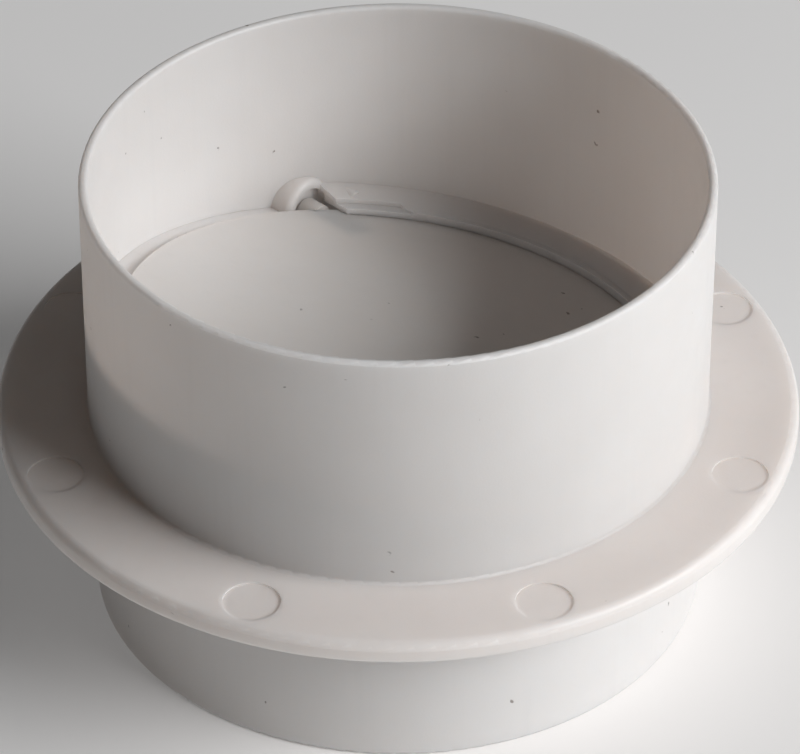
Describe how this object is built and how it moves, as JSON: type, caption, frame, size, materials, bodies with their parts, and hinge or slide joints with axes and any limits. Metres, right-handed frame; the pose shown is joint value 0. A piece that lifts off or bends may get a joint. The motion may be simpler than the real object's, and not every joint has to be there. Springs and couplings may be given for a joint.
{
  "type": "flanged duct spigot with non-return flap",
  "caption": "Round flanged duct connector in pale moulded plastic: two short spigots and a tilting non-return flap on an inclined seat.",
  "frame": {"origin": "centre of the lower spigot's open end, on the duct's axis", "axes": "+Z along the duct from the lower spigot to the upper one; the flap's hinge axis runs along X, on the +Y side"},
  "size_m": [0.1292, 0.1292, 0.077],
  "materials": {
    "housing_plastic": "satin",
    "flap_plastic": "satin",
    "pin_plastic": "satin"
  },
  "bodies": {
    "housing": {"housing": "housing_plastic"},
    "flap": {"flap": "flap_plastic", "hinge_pin_left": "pin_plastic", "hinge_pin_right": "pin_plastic"}
  },
  "joints": [
    {"name": "flap_hinge", "type": "hinge", "parent": "housing", "child": "flap", "pos_m": [0, 0.0207, 0.03915], "axis": [-1, 0, 0], "range_deg": [0, 65]}
  ]
}
